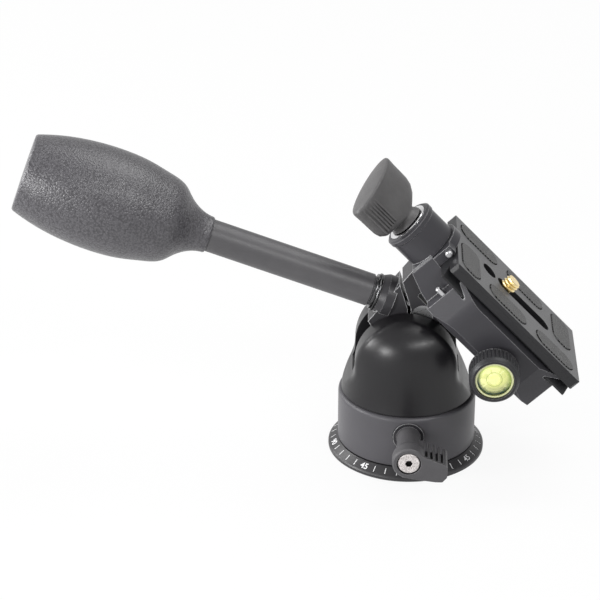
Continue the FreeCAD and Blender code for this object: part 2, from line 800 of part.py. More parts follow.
def clamp_jaw():
    """The sliding near jaw, with a dovetail lip and holes for its pins and screw."""
    low = size("clamp_low")
    half = size("clamp_half")
    split = size("jaw_split") + 0.3
    start = size("clamp_back") + 0.3
    stop = size("clamp_front") - 0.3
    section = [
        (-split, low),
        (-split, size("clamp_top")),
        (-20.95, size("clamp_top")),
        (-20.95, 37.97),
        (-17.72, 41.2),
        (-half + 3.6, 41.2),
        (-half, 39.2),
        (-half, low + 3),
        (-half + 3, low),
    ]
    shape = prism([(start, y, b) for y, b in section], (stop - start, 0, 0))
    corner = prism([(stop - 11, -half - 0.1, low - 1), (stop + 1, -half - 0.1, low - 1),
                    (stop + 1, -half + 5, low - 1)], (0, 0, 30))
    shape = shape.cut(corner)
    bend = Part.Arc(Vector(-3, -half, low - 1), Vector(-5.74, 0.27 - half, low - 1),
                    Vector(-8.38, 1.07 - half, low - 1)).toShape()
    outside = Part.Wire([
        bend,
        line((-8.38, 1.07 - half, low - 1), (-17, 4.66 - half, low - 1)),
        line((-17, 4.66 - half, low - 1), (-17, -half - 2, low - 1)),
        line((-17, -half - 2, low - 1), (-3, -half - 2, low - 1)),
        line((-3, -half - 2, low - 1), (-3, -half, low - 1)),
    ])
    shape = shape.cut(Part.Face(outside).extrude(Vector(0, 0, 30)))
    a = size("knob_a")
    b = size("knob_b")
    shape = shape.cut(rod(size("clamp_screw_r") + 0.06, (a, -half - 1, b), (a, -split + 1, b)))
    for a in (3, 32):
        shape = shape.cut(rod(1.55, (a, -19.4, 30), (a, -split + 1, 30)))
    solid("clamp_jaw", shape, TILTED)


def jaw_pins():
    """The two guide pins that keep the sliding jaw square."""
    pins = [rod(1.5, (a, -18.9, 30), (a, -4, 30)) for a in (3, 32)]
    solid("jaw_pins", Part.makeCompound(pins), TILTED)


def jaw_springs():
    """The two springs on the pins that push the jaw open."""
    springs = []
    for a in (3, 32):
        path = Part.makeHelix(1.15, 4.0, 2.1)
        ring = Part.Wire(Part.makeCircle(0.35, Vector(2.1, 0, 0), Vector(0, 1, 0)))
        coil = Part.Wire(path).makePipeShell([ring], True, True)
        coil.Placement = Placement(Vector(a, -9.4, 30), Rotation(Vector(1, 0, 0), 90))
        springs.append(coil)
    solid("jaw_springs", Part.makeCompound(springs), TILTED)


def back_pin():
    """The small steel stop pin in the back of the sliding jaw."""
    turned("jaw_stop_pin", [
        ("0", "0"),
        ("1.1", "0"),
        ("1.1", "3.2"),
        ("0.7", "3.6"),
        ("0", "3.6"),
    ], TILTED * Placement(Vector(-15.7, -17.5, 32), Rotation(Vector(0, 1, 0), -90)))


def roll_set_screw():
    """The set screw in the boss that sets how stiffly the side tilt turns."""
    place = TILTED * Placement(Vector(-30, 0, size("roll_b") + 1.9), Rotation(Vector(1, 0, 0), -90))
    made = turned("side_tilt_set_screw", [
        ("0", "7.15"),
        ("1.6", "7.15"),
        ("2.5", "7.9"),
        ("2.5", "9.4"),
        ("0", "9.4"),
    ], place)
    hex_socket(made, "9.4", "1.2", "2.4")


def catch_bracket():
    """The arched strip over the end of the bed that stops the plate, with a lug on its near side."""
    top = size("clamp_top")
    axis = size("roll_b")
    shape = rod(11.2, (-26.7, 0, axis), (-22.9, 0, axis))
    shape = shape.common(box(-27, -12, top, -22, 12, top + 12))
    lug = box(-26.7, -11.2, top, -22.9, -6.5, 45.2)
    shape = shape.fuse(lug).removeSplitter()
    shape = shape.cut(rod(9.3, (-27, 0, axis), (-22, 0, axis)))
    shape = shape.cut(rod(1.4, (-24.8, -8.2, 43.2), (-24.8, -12, 43.2)))
    solid("catch_bracket", shape, TILTED)


def catch_pin():
    """The round steel pin pressed into the lug."""
    turned("catch_pin", [
        ("0", "0"),
        ("1.36", "0"),
        ("1.36", "4.9"),
        ("1", "5.3"),
        ("0", "5.3"),
    ], TILTED * Placement(Vector(-24.8, -8.3, 43.2), Rotation(Vector(1, 0, 0), 90)))


def clamp_knob():
    """The knurled clamp knob with a round pocket for the bubble level."""
    made = turned("clamp_knob", [
        ("clamp_screw_r", "23.4"),
        ("7.6", "23.4"),
        ("7.8", "24.0"),
        ("knob_r - 0.6", "24.6"),
        ("knob_r", "25.2"),
        ("knob_r", "knob_front - 1.6"),
        ("knob_r - 0.5", "knob_front - 0.7"),
        ("knob_r - 1.1", "knob_front"),
        ("7.4", "knob_front"),
        ("7.2", "knob_front - 0.5"),
        ("7.2", "knob_front - 5.6"),
        ("clamp_screw_r", "knob_front - 5.6"),
    ], KNOB)
    drawing = sketch(made, "XY_Plane", "25.6")
    middle = "knob_r + 0.25"
    circle(drawing, middle, "0", "0.55")
    groove = pocket(made, drawing, "knob_front - 27.6", True)
    ring = made.newObject("PartDesign::PolarPattern", "Knurl")
    ring.Originals = [groove]
    ring.Axis = (drawing, ["N_Axis"])
    ring.Angle = 360
    ring.Occurrences = 40
    made.Tip = ring
    doc.recompute()


def clamp_screw():
    """The screw that draws the jaw in."""
    turned("clamp_screw", [
        ("0", "-8"),
        ("clamp_screw_r - 0.5", "-8"),
        ("clamp_screw_r", "-7.5"),
        ("clamp_screw_r", "knob_front - 5.7"),
        ("0", "knob_front - 5.7"),
    ], KNOB)


def level_cup():
    """The pale cup of the bubble level."""
    turned("level_cup", [
        ("0", "knob_front - 5.6"),
        ("7.1", "knob_front - 5.6"),
        ("7.1", "knob_front - 0.9"),
        ("6.4", "knob_front - 0.9"),
        ("6.4", "knob_front - 4.8"),
        ("0", "knob_front - 4.8"),
    ], KNOB)


def level_fluid():
    """The green fluid, hollowed at the front for the bubble."""
    turned("level_fluid", [
        ("0", "knob_front - 4.8"),
        ("6.4", "knob_front - 4.8"),
        ("6.4", "knob_front - 1.9"),
        ("2.2", "knob_front - 1.9"),
        ("1.9", "knob_front - 2.5"),
        ("0", "knob_front - 2.8"),
    ], KNOB)


def level_bubble():
    """The flattened air bubble under the lens."""
    turned("level_bubble", [
        ("0", "knob_front - 2.8"),
        ("1.9", "knob_front - 2.5"),
        ("2.2", "knob_front - 1.9"),
        ("0", "knob_front - 1.9"),
    ], KNOB)


def level_lens():
    """The clear lens of the bubble level."""
    turned("level_lens", [
        ("0", "knob_front - 1.9"),
        ("6.4", "knob_front - 1.9"),
        ("6.4", "knob_front - 0.9"),
        ("6", "knob_front - 0.7"),
        ("3", "knob_front - 0.45"),
        ("0", "knob_front - 0.4"),
    ], KNOB)


def stadium(pad_edges, gap=0):
    """A rounded rectangle given by its back, near, front and far edges."""
    a0, y0, a1, y1 = pad_edges
    a0, y0, a1, y1 = a0 + gap, y0 + gap, a1 - gap, y1 - gap
    r = size("pad_r") - gap
    z = size("plate_top") - size("pad_deep")
    half = math.sqrt(0.5) * r
    edges = [
        line((a0 + r, y0, z), (a1 - r, y0, z)),
        Part.Arc(Vector(a1 - r, y0, z), Vector(a1 - r + half, y0 + r - half, z),
                 Vector(a1, y0 + r, z)).toShape(),
        line((a1, y0 + r, z), (a1, y1 - r, z)),
        Part.Arc(Vector(a1, y1 - r, z), Vector(a1 - r + half, y1 - r + half, z),
                 Vector(a1 - r, y1, z)).toShape(),
        line((a1 - r, y1, z), (a0 + r, y1, z)),
        Part.Arc(Vector(a0 + r, y1, z), Vector(a0 + r - half, y1 - r + half, z),
                 Vector(a0, y1 - r, z)).toShape(),
        line((a0, y1 - r, z), (a0, y0 + r, z)),
        Part.Arc(Vector(a0, y0 + r, z), Vector(a0 + r - half, y0 + r - half, z),
                 Vector(a0 + r, y0, z)).toShape(),
    ]
    return Part.Face(Part.Wire(edges))


def camera_plate():
    """The quick-release plate: slab, dovetail foot, screw channel and pad recesses."""
    back = size("plate_back")
    front = size("plate_front")
    half = size("plate_half")
    low = size("plate_low")
    top = size("plate_top")
    section = [
        (-20.5, 37.3),
        (-10, 37.3),
        (-10, 43),
        (10, 43),
        (10, 37.3),
        (20.5, 37.3),
        (20.5, 38),
        (17, low),
        (half - 0.5, low),
        (half, low + 0.5),
        (half, top - 1.2),
        (half - 1, top),
        (-half + 1, top),
        (-half, top - 1.2),
        (-half, low + 0.5),
        (-half + 0.5, low),
        (-17, low),
        (-20.5, 38),
    ]
    shape = prism([(back, y, b) for y, b in section], (front - back, 0, 0))
    upright = []
    for edge in shape.Edges:
        if edge.BoundBox.XLength < 1 and edge.BoundBox.ZLength > 2 and abs(edge.BoundBox.YMax) >= 21.9:
            upright.append(edge)
    shape = shape.makeChamfer(1.2, upright)
    for pad_edges in PADS:
        shape = shape.cut(stadium(pad_edges).extrude(Vector(0, 0, 3)))
    slot = box(3.6, -3.4, 42, 25.4, 3.4, 50)
    slot = slot.fuse(rod(3.4, (3.6, 0, 42), (3.6, 0, 50))).fuse(rod(3.4, (25.4, 0, 42), (25.4, 0, 50)))
    shape = shape.cut(slot)
    shape = shape.cut(rod(3.4, (-4.6, 0, 42), (-4.6, 0, 50)))
    solid("camera_plate", shape.removeSplitter(), TILTED)


def rubber_pads():
    """The six rubber pads let into the plate's top."""
    deep = size("pad_deep") + size("pad_proud")
    pads = [stadium(edges, size("pad_gap")).extrude(Vector(0, 0, deep)) for edges in PADS]
    solid("rubber_pads", Part.makeCompound(pads), TILTED)


def screw_carriage():
    """The square washer that carries the camera screw along the channel."""
    shape = box(-7, -9.6, 41.9, 7, 9.6, 42.9)
    solid("screw_carriage", shape.cut(rod(size("camera_r") + 0.06, (0, 0, 40), (0, 0, 50))), CAMERA)


def camera_screw():
    """The brass 1/4 inch camera screw with a slotted head."""
    made = turned("camera_screw", [
        ("0", "38.4"),
        ("7", "38.4"),
        ("7.5", "38.9"),
        ("7.5", "41.6"),
        ("camera_neck_r", "41.6"),
        ("camera_neck_r", "46.2"),
        ("camera_r", "46.2"),
        ("camera_r", "camera_tip - 0.6"),
        ("camera_r - 0.6", "camera_tip"),
        ("0", "camera_tip"),
    ], CAMERA)
    drawing = sketch(made, "XY_Plane", "38.4")
    outline(drawing, [("-8", "-0.8"), ("8", "-0.8"), ("8", "0.8"), ("-8", "0.8")])
    pocket(made, drawing, "1.4", True)


def screw_clip():
    """The thin ring above the carriage that keeps the screw from dropping out."""
    turned("screw_clip", [
        ("camera_neck_r", "42.95"),
        ("3.36", "42.95"),
        ("3.36", "43.8"),
        ("camera_neck_r", "43.8"),
    ], CAMERA)


def handle_stud():
    """The threaded stud from the handle through the block into the cross nut."""
    turned("handle_stud", [
        ("0", "-24"),
        ("stud_r - 0.4", "-24"),
        ("stud_r", "-23.6"),
        ("stud_r", "12"),
        ("0", "12"),
    ], HANDLE)


def handle_plug():
    """The plug in the end of the handle tube that the stud is fixed in."""
    turned("handle_plug", [
        ("stud_r", "-0.2"),
        ("5.6", "-0.2"),
        ("5.6", "0.8"),
        ("tube_r - tube_wall", "0.8"),
        ("tube_r - tube_wall", "12"),
        ("stud_r", "12"),
    ], HANDLE)


def handle_washer():
    """The bright washer between handle and block."""
    turned("handle_washer", [
        ("stud_r + 0.1", "-1.9"),
        ("7.2", "-1.9"),
        ("7.3", "-1.7"),
        ("7.3", "-1.2"),
        ("7.1", "-1.0"),
        ("stud_r + 0.1", "-1.0"),
    ], HANDLE)


def handle_ring():
    """The thin dark ring between washer and tube."""
    turned("handle_ring", [
        ("stud_r", "-0.95"),
        ("6.6", "-0.95"),
        ("6.8", "-0.7"),
        ("6.8", "-0.2"),
        ("stud_r", "-0.2"),
    ], HANDLE)


def handle_tube():
    """The straight handle tube."""
    turned("handle_tube", [
        ("tube_r - tube_wall", "0.8"),
        ("tube_r - 0.3", "0.8"),
        ("tube_r", "1.1"),
        ("tube_r", "118"),
        ("tube_r - tube_wall", "118"),
    ], HANDLE)


def handle_grip():
    """The barrel-shaped grip moulded over the end of the tube."""
    inner = size("tube_r")
    end = size("grip_end")
    skin = [
        (7.0, 0, 66.0),
        (8.3, 0, 71.2),
        (11.2, 0, 75.6),
        (14.9, 0, 79.6),
        (17.3, 0, 86.5),
        (19.1, 0, 95),
        (size("grip_r"), 0, 105),
        (19.6, 0, 115),
        (18.0, 0, 126.5),
        (14.9, 0, end - 0.6),
    ]
    edges = [
        line((inner, 0, 65.4), (6.7, 0, 65.4)),
        line((6.7, 0, 65.4), skin[0]),
        curve(skin),
        line(skin[-1], (14.3, 0, end)),
        line((14.3, 0, end), (12.6, 0, end)),
        line((12.6, 0, end), (12.6, 0, 118)),
        line((12.6, 0, 118), (inner, 0, 118)),
        line((inner, 0, 118), (inner, 0, 65.4)),
    ]
    solid("handle_grip", spin(edges), HANDLE)


def grip_cap():
    """The flat cap that closes the grip's hollow end."""
    turned("grip_cap", [
        ("0", "grip_end - 2.4"),
        ("12.6", "grip_end - 2.4"),
        ("12.6", "grip_end - 0.3"),
        ("12.3", "grip_end"),
        ("0", "grip_end"),
    ], HANDLE)


def fork_screws():
    """The four cap screws that hold the fork to the housing from below."""
    low = size("house_low")
    screws = []
    for x, y in FORK_SCREWS:
        place = (float(x), float(y))
        head = rod(2.8, place + (low + 0.5,), place + (low + 3.5,))
        shank = rod(1.5, place + (low + 3.5,), place + (30.8,))
        screws.append(head.fuse(shank).cut(rod(1.2, place + (low,), place + (low + 2,))))
    solid("fork_screws", Part.makeCompound(screws))


def check_and_export():
    """Stops on any failed object, then writes one file for each sub-part."""
    doc.recompute()
    for item in doc.Objects:
        if "Invalid" in item.State or "Error" in item.State:
            raise RuntimeError("%s failed" % item.Label)
    os.makedirs("parts", exist_ok=True)
    for name in os.listdir("parts"):
        os.remove(os.path.join("parts", name))
    for node in NODES:
        shape = node.Shape
        if shape.isNull() or not shape.isValid() or not shape.Solids:
            raise RuntimeError("%s has no sound solid" % node.Label)
        shape.exportStep("parts/%s.step" % node.Label)
        print("%-22s solids %d volume %9.1f" % (node.Label, len(shape.Solids), shape.Volume))


base_disc()
tripod_bush()
pan_bolt()
pan_washer()
pan_housing()
brake_shoe()
lever_collar()
lever_spindle()
lever_screw()
lever()
tilt_fork()
fork_screws()
tilt_axle()
axle_plug()
ear_washers()
tilt_block()
barrel_nut()
side_tilt_spindle()
neck_screws()
knob_stud()
knob_washer()
side_tilt_knob()
clamp_body()
clamp_jaw()
jaw_pins()
jaw_springs()
back_pin()
roll_set_screw()
catch_bracket()
catch_pin()
clamp_knob()
clamp_screw()
level_cup()
level_fluid()
level_bubble()
level_lens()
camera_plate()
rubber_pads()
screw_carriage()
camera_screw()
screw_clip()
handle_stud()
handle_plug()
handle_washer()
handle_ring()
handle_tube()
handle_grip()
grip_cap()
check_and_export()
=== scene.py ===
# Three way pan and tilt head with a long handle and a quick-release plate.
# Each section is one piece or group of pieces, in the order in which the head is put together.
import bmesh
import bpy
import math
from mathutils import Matrix, Vector


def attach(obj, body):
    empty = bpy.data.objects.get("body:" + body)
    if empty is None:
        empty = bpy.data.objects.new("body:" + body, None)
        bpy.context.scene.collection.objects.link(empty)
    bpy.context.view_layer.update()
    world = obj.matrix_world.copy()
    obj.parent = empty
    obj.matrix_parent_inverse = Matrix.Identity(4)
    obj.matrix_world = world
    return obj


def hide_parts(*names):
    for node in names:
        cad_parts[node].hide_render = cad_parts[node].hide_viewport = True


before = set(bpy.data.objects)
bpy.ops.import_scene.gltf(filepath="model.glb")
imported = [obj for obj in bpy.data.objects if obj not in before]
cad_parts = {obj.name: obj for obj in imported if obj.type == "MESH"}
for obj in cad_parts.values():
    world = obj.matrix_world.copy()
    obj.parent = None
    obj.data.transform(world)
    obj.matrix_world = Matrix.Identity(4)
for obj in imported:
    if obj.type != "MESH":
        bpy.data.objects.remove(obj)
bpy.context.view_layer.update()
MM = 0.001

# Camera
# The photograph looks down on the head by 27 degrees, from the side that carries the levers.
# The long lens keeps the round foot nearly free of perspective.
aim = Vector((-0.0413, 0, 0.0619))
azimuth = math.radians(1.5)
elevation = math.radians(26.75)
roll = math.radians(0.26)
away = Vector((
    math.sin(azimuth) * math.cos(elevation),
    -math.cos(azimuth) * math.cos(elevation),
    math.sin(elevation),
))
side = Vector((math.cos(azimuth), math.sin(azimuth), 0))
rise = away.cross(side)
across = side * math.cos(roll) + rise * math.sin(roll)
upward = rise * math.cos(roll) - side * math.sin(roll)
lens = bpy.data.cameras.new("photo_camera")
lens.lens = 158.4
lens.sensor_width = 36
lens.clip_start = 0.05
lens.clip_end = 20
eye = bpy.data.objects.new("photo_camera", lens)
bpy.context.collection.objects.link(eye)
turn = Matrix((across, upward, away)).transposed().to_4x4()
eye.matrix_world = Matrix.Translation(aim + away) @ turn
bpy.context.scene.camera = eye


# Studio
# A white floor and a plain white surround. A key light on the left has a soft one in front of
# it, with a thin strip high in front, a soft light above and a tall strip at the back left.
class Wire:
    """A shader socket that can be used in sums, with plain numbers or other sockets."""

    def __init__(self, tree, socket):
        self.tree = tree
        self.socket = socket

    def sum(self, operation, first, second=None):
        made = self.tree.nodes.new("ShaderNodeMath")
        made.operation = operation
        for place, item in zip(made.inputs, (first, second)):
            if isinstance(item, Wire):
                self.tree.links.new(item.socket, place)
            elif item is not None:
                place.default_value = item
        return Wire(self.tree, made.outputs[0])

    def __add__(self, other):
        return self.sum("ADD", self, other)

    def __sub__(self, other):
        return self.sum("SUBTRACT", self, other)

    def __rsub__(self, other):
        return self.sum("SUBTRACT", other, self)

    def __mul__(self, other):
        return self.sum("MULTIPLY", self, other)

    def __pow__(self, other):
        return self.sum("POWER", self, other)

    def __abs__(self):
        return self.sum("ABSOLUTE", self)

    __radd__ = __add__
    __rmul__ = __mul__

    def sine(self):
        return self.sum("SINE", self)


class Finish:
    """One material: its nodes are made with node(), and its shader is set with set()."""

    def __init__(self, name, shader="ShaderNodeBsdfPrincipled"):
        self.material = bpy.data.materials.new(name)
        self.material.use_nodes = True
        self.tree = self.material.node_tree
        self.tree.nodes.clear()
        self.output = self.tree.nodes.new("ShaderNodeOutputMaterial")
        self.shader = self.tree.nodes.new(shader)
        self.tree.links.new(self.shader.outputs[0], self.output.inputs[0])

    def node(self, kind, settings=None, values=None, out=0):
        """Adds a node: its settings come first, then the values or links of its sockets."""
        made = self.tree.nodes.new("ShaderNode" + kind)
        for name, value in (settings or {}).items():
            if name == "stops":
                for stop, (place, shade) in zip(made.color_ramp.elements, value):
                    stop.position = place
                    stop.color = (shade, shade, shade, 1)
            else:
                setattr(made, name, value)
        for name, value in (values or {}).items():
            self.feed(made.inputs[name], value)
        return Wire(self.tree, made.outputs[out])

    def feed(self, place, value):
        """Links a socket, or sets it to a number or a colour."""
        if isinstance(value, Wire):
            self.tree.links.new(value.socket, place)
        elif isinstance(value, tuple) and len(value) == 3 and place.type == "RGBA":
            place.default_value = value + (1,)
        else:
            place.default_value = value

    def set(self, **values):
        """Sets or links the shader's own sockets, with _ for a space in their names."""
        for name, value in values.items():
            self.feed(self.shader.inputs[name.replace("_", " ")], value)

    def place(self):
        """The shaded point in the part's own coordinates."""
        return self.node("TexCoord", out=3)

    def part_of_place(self, axis):
        """One of the three coordinates of the shaded point."""
        return self.node("SeparateXYZ", None, {"Vector": self.place()}, out="XYZ".index(axis))

    def noise(self, scale, detail=3.0, rough=0.5):
        """Cloudy grain, with its scale in waves per metre."""
        values = {"Vector": self.place(), "Scale": scale, "Detail": detail, "Roughness": rough}
        return self.node("TexNoise", None, values)

    def cells(self, scale):
        """Soft-edged cells: 0 in the middle of each and more towards its border."""
        values = {"Vector": self.place(), "Scale": scale}
        return self.node("TexVoronoi", {"feature": "SMOOTH_F1"}, values)

    def blend(self, factor, first, second):
        """Mixes two colours."""
        made = self.tree.nodes.new("ShaderNodeMix")
        made.data_type = "RGBA"
        self.feed(made.inputs[0], factor)
        self.feed(made.inputs[6], first)
        self.feed(made.inputs[7], second)
        return Wire(self.tree, made.outputs[2])

    def ramp(self, value, low, high, start=0.3, end=0.7):
        """Runs from low to high over the middle of a noise."""
        return self.node("ValToRGB", {"stops": [(start, low), (end, high)]}, {"Fac": value})

    def step(self, value, low, high):
        """Runs from 0 to 1 as a value goes from low to high, and stays there outside."""
        return self.node("MapRange", None, {"Value": value, 1: low, 2: high})

    def rounded(self, radius):
        """The normal that the surface would have with its edges rounded."""
        return self.node("Bevel", {"samples": 6}, {"Radius": radius})

    def worn(self, radius, low=0.02, high=0.25):
        """1 on sharp edges and 0 elsewhere, from a rounded and a true normal."""
        soft = self.rounded(radius)
        true = self.node("NewGeometry", out=1)
        dot = self.node("VectorMath", {"operation": "DOT_PRODUCT"}, {0: soft, 1: true}, out=1)
        return self.step(1 - dot, low, high)

    def bumps(self, height, distance, radius=0.0003):
        """A bump over rounded edges."""
        soft = self.rounded(radius)
        return self.node("Bump", None, {"Height": height, "Distance": distance, "Normal": soft})


def paint(finish, *nodes):
    """Gives a finish to parts that keep their own shape."""
    for name in nodes:
        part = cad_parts[name]
        part.data.materials.clear()
        part.data.materials.append(finish.material)


def piece(name, mesh, finish, body, replaced=()):
    """Turns a finished bmesh into a piece that rides on a body."""
    data = bpy.data.meshes.new(name)
    mesh.to_mesh(data)
    mesh.free()
    made = bpy.data.objects.new(name, data)
    bpy.context.collection.objects.link(made)
    data.materials.append(finish.material)
    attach(made, body)
    if replaced:
        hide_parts(*replaced)
    return made


def smooth(made, angle):
    """Shades a piece smoothly except across edges sharper than an angle in degrees."""
    made.data.shade_smooth()
    made.data.set_sharp_from_angle(angle=math.radians(angle))


def seen_rays(tree):
    """1 for rays that the camera sends out, straight or by way of a mirror or a lens."""
    path = tree.nodes.new("ShaderNodeLightPath")
    straight = Wire(tree, path.outputs["Is Camera Ray"])
    mirrored = Wire(tree, path.outputs["Is Glossy Ray"])
    through = Wire(tree, path.outputs["Is Transmission Ray"])
    return straight + mirrored + through


floor_mesh = bmesh.new()
bmesh.ops.create_grid(floor_mesh, x_segments=1, y_segments=1, size=6)
floor_data = bpy.data.meshes.new("studio_floor")
floor_mesh.to_mesh(floor_data)
floor_mesh.free()
studio_floor = bpy.data.objects.new("studio_floor", floor_data)
bpy.context.collection.objects.link(studio_floor)
floor_white = Finish("floor_white", "ShaderNodeMixShader")
glow_share = 0.92
sheet = floor_white.node("BsdfDiffuse", None, {"Color": (0.75, 0.75, 0.75)})
glow = floor_white.node("Emission", None, {"Color": (1, 1, 1), "Strength": 1.0})
floor_white.feed(floor_white.shader.inputs[0], seen_rays(floor_white.tree) * glow_share)
floor_white.feed(floor_white.shader.inputs[1], sheet)
floor_white.feed(floor_white.shader.inputs[2], glow)
studio_floor.data.materials.append(floor_white.material)

world = bpy.data.worlds.new("plain_white")
bpy.context.scene.world = world
world.use_nodes = True
sky = world.node_tree
sky.nodes.clear()
dim = sky.nodes.new("ShaderNodeBackground")
dim.inputs["Strength"].default_value = 0.12
bright = sky.nodes.new("ShaderNodeBackground")
bright.inputs["Strength"].default_value = 1.0
either = sky.nodes.new("ShaderNodeMixShader")
leave = sky.nodes.new("ShaderNodeOutputWorld")
sky.links.new(seen_rays(sky).socket, either.inputs[0])
sky.links.new(dim.outputs[0], either.inputs[1])
sky.links.new(bright.outputs[0], either.inputs[2])
sky.links.new(either.outputs[0], leave.inputs[0])

lit_point = Vector((-0.02, 0, 0.06))
for name, spot, width, depth, power in (
    ("key_left", (-1.14, -0.20, 0.44), 0.36, 0.46, 11.0),
    ("front_left", (-0.84, -0.96, 0.34), 0.30, 0.36, 9.0),
    ("front_high", (0.42, -0.75, 0.85), 0.7, 0.05, 5.0),
    ("top_soft", (0.40, 0.30, 1.15), 0.9, 0.8, 9.0),
    ("rim_back_left", (-0.95, 0.5, 0.62), 0.3, 0.8, 6.0),
):
    lamp = bpy.data.lights.new(name, "AREA")
    lamp.shape = "RECTANGLE"
    lamp.size = width
    lamp.size_y = depth
    lamp.energy = power
    made = bpy.data.objects.new(name, lamp)
    bpy.context.collection.objects.link(made)
    made.location = spot
    made.rotation_euler = (lit_point - Vector(spot)).to_track_quat("-Z", "Y").to_euler()

bpy.context.scene.view_settings.view_transform = "Standard"

# Foot disc
# A flat aluminium ring, turned and painted black, whose sloping face carries the pan scale.
ring_black = Finish("ring_black")
speck = ring_black.noise(2600, 2)
ring_edge = ring_black.worn(0.0005)
ring_black.set(
    Base_Color=ring_black.blend(ring_edge, (0.022, 0.021, 0.023), (0.12, 0.12, 0.125)),
    Roughness=ring_black.ramp(speck, 0.34, 0.46),
    Normal=ring_black.bumps(speck, 0.00002),
)
paint(ring_black, "base_disc")

# Pan scale
# White marks every nine degrees, printed on the slope, with the numbers 0, 45 and 90 in place
# of every fifth mark. Sizes are in millimetres.
slope_low = Vector((29.35, 2.55)) * MM
slope_high = Vector((26.6, 4.48)) * MM
slope = (slope_high - slope_low).normalized()
outward = Vector((slope.y, -slope.x))
print_lift = 0.03
scale_white = Finish("scale_white")
scale_white.set(
    Base_Color=scale_white.blend(scale_white.noise(900), (0.70, 0.70, 0.71), (0.86, 0.86, 0.87)),
    Roughness=scale_white.ramp(scale_white.noise(2600), 0.4, 0.55),
)


def on_slope(up):
    """The radius and height of a point on the sloping face, a hair proud of it."""
    return slope_low + slope * up + outward * print_lift * MM


mark_pitch = 9
marks_turned = 1.6
mark_middle = 1.5
mark_length = 2.4
mark_width = 0.3
marks = bmesh.new()
for step in range(360 // mark_pitch):
    if step % 5 == 1:
        continue
    bar = bmesh.ops.create_grid(marks, x_segments=1, y_segments=1, size=0.5)["verts"]
    for corner in bar:
        spot = on_slope((mark_middle + corner.co.y * mark_length) * MM)
        corner.co = Vector((corner.co.x * mark_width * MM, -spot.x, spot.y))
    angle = math.radians(step * mark_pitch + marks_turned)
    bmesh.ops.rotate(marks, verts=bar, matrix=Matrix.Rotation(angle, 3, "Z"))
pan_marks = piece("pan_scale_marks", marks, scale_white, "foot")
ink = pan_marks.modifiers.new("ink", "SOLIDIFY")
ink.thickness = 0.02 * MM
ink.offset = 0
number_size = 3.3
number_weight = 0.06
number_foot = 0.4
number_bend_m = 0.028
number_pitch = 45
first_number = -79.4


def number_on_slope(text, degrees):
    """A printed number bent round the sloping face."""
    words = bpy.data.curves.new("number", "FONT")
    words.body = text
    words.size = number_size * MM
    words.align_x = "CENTER"
    words.offset = number_weight * MM
    holder = bpy.data.objects.new("number", words)
    bpy.context.collection.objects.link(holder)
    flat = bpy.data.meshes.new_from_object(holder)
    bpy.data.objects.remove(holder)
    print_mesh = bmesh.new()
    print_mesh.from_mesh(flat)
    bmesh.ops.subdivide_edges(print_mesh, edges=print_mesh.edges[:], cuts=1)
    for corner in print_mesh.verts:
        spot = on_slope(corner.co.y + number_foot * MM)
        swing = corner.co.x / number_bend_m
        corner.co = Vector((math.sin(swing) * spot.x, -math.cos(swing) * spot.x, spot.y))
    around = Matrix.Rotation(math.radians(degrees), 3, "Z")
    bmesh.ops.rotate(print_mesh, verts=print_mesh.verts[:], matrix=around)
    return print_mesh


for count, text in enumerate(("90", "45", "0", "45", "90", "45", "0", "45")):
    number = number_on_slope(text, first_number + number_pitch * count)
    piece("pan_number_%d" % count, number, scale_white, "foot")

# Plain steel and nylon
# Turned and ground steel parts, most of them inside the head: the threaded bush, bolts, axle,
# spindles, pins and springs. The slip washers and the clip of the camera screw are nylon.
bare_steel = Finish("bare_steel")
grain = bare_steel.noise(1800, 2)
bare_steel.set(
    Base_Color=bare_steel.blend(bare_steel.noise(150), (0.50, 0.50, 0.51), (0.60, 0.60, 0.61)),
    Metallic=1.0,
    Roughness=bare_steel.ramp(grain, 0.25, 0.4),
    Normal=bare_steel.bumps(grain, 0.00001, 0.0002),
)
paint(
    bare_steel, "tripod_bush", "pan_bolt", "fork_screws", "tilt_axle", "pan_lock_spindle",
    "barrel_nut", "neck_screws", "handle_stud", "jaw_pins", "jaw_springs", "side_tilt_set_screw",
    "side_tilt_stud", "jaw_stop_pin", "catch_pin", "clamp_screw", "screw_carriage",
)
slip_nylon = Finish("slip_nylon")
slip_nylon.set(
    Base_Color=slip_nylon.blend(slip_nylon.noise(400), (0.6, 0.59, 0.55), (0.7, 0.69, 0.65)),
    Roughness=slip_nylon.ramp(slip_nylon.noise(1500), 0.35, 0.5),
)
paint(slip_nylon, "pan_washer", "ear_washers", "screw_clip")

# Pan housing
# A die-cast drum with a rounded shoulder, painted satin black, that turns on the foot.
housing_black = Finish("housing_black")
fine = housing_black.noise(3200, 2)
broad = housing_black.noise(60, 2)
housing_black.set(
    Base_Color=housing_black.blend(broad, (0.060, 0.058, 0.064), (0.074, 0.072, 0.079)),
    Roughness=housing_black.ramp(fine, 0.32, 0.42, 0.25, 0.75),
    Specular_IOR_Level=0.3,
    Normal=housing_black.bumps(fine, 0.000025, 0.0005),
)
paint(housing_black, "pan_housing")

